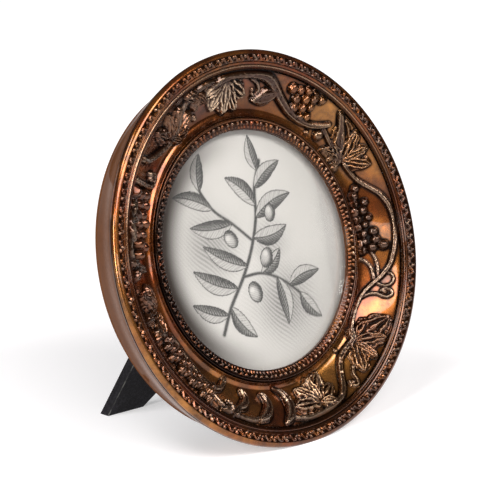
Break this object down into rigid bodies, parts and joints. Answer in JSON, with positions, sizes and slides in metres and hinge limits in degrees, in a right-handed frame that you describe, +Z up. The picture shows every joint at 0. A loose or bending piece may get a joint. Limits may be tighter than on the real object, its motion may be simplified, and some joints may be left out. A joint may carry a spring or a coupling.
{
  "type": "round picture frame",
  "caption": "Round moulded picture frame with a deep carved hollow, glazed picture, removable back held by turn buttons, and a folding easel leg.",
  "frame": {"origin": "on the table, under the middle of the part's footprint, with the leg open", "axes": "+Z up, the picture looks towards -Y, +X to the right of a person looking at the picture"},
  "size_m": [0.16, 0.0856, 0.1542],
  "materials": {
    "bronze_lacquer": "cast resin with aged bronze lacquer, copper on the high parts and near black in the hollows",
    "clear_glass": "clear float glass",
    "print_paper": "matt warm grey paper with a pencil-like print",
    "grey_card": "plain grey card",
    "black_flock": "fibre board wrapped in black flocked paper",
    "plated_steel": "thin zinc-plated steel",
    "brass_plate": "brass-plated steel"
  },
  "bodies": {
    "frame": {"frame_ring": "bronze_lacquer", "glass_pane": "clear_glass", "picture_print": "print_paper", "filler_card": "grey_card", "backing_board": "black_flock", "hinge_board_leaf": "plated_steel", "hinge_pin": "plated_steel", "board_leaf_rivet_1": "brass_plate", "board_leaf_rivet_2": "brass_plate", "turn_button_screw_1": "plated_steel", "turn_button_screw_2": "plated_steel", "turn_button_screw_3": "plated_steel", "turn_button_screw_4": "plated_steel", "hanger_strap": "plated_steel", "hanger_screw": "plated_steel"},
    "leg": {"easel_leg": "black_flock", "hinge_leg_leaf": "plated_steel", "leg_leaf_rivet_1": "brass_plate", "leg_leaf_rivet_2": "brass_plate"},
    "button_1": {"turn_button_1": "brass_plate"},
    "button_2": {"turn_button_2": "brass_plate"},
    "button_3": {"turn_button_3": "brass_plate"},
    "button_4": {"turn_button_4": "brass_plate"},
    "hanger": {"hanger_ring": "plated_steel"}
  },
  "joints": [
    {"name": "leg_fold", "type": "hinge", "parent": "frame", "child": "leg", "pos_m": [0, 0.00475, 0.08861], "axis": [1, 0, 0], "range_deg": [-34, 0]},
    {"name": "button_turn_1", "type": "hinge", "parent": "frame", "child": "button_1", "pos_m": [0.04066, 0.00925, 0.11087], "axis": [0, 0.965, -0.2622], "range_deg": [-90, 90]},
    {"name": "button_turn_2", "type": "hinge", "parent": "frame", "child": "button_2", "pos_m": [-0.04066, 0.00925, 0.11087], "axis": [0, 0.965, -0.2622], "range_deg": [-90, 90]},
    {"name": "button_turn_3", "type": "hinge", "parent": "frame", "child": "button_3", "pos_m": [-0.04066, -0.01207, 0.0324], "axis": [0, 0.965, -0.2622], "range_deg": [-90, 90]},
    {"name": "button_turn_4", "type": "hinge", "parent": "frame", "child": "button_4", "pos_m": [0.04066, -0.01207, 0.0324], "axis": [0, 0.965, -0.2622], "range_deg": [-90, 90]},
    {"name": "hanger_swing", "type": "hinge", "parent": "frame", "child": "hanger", "pos_m": [0, 0.01869, 0.13914], "axis": [1, 0, 0], "range_deg": [-7, 164]}
  ]
}
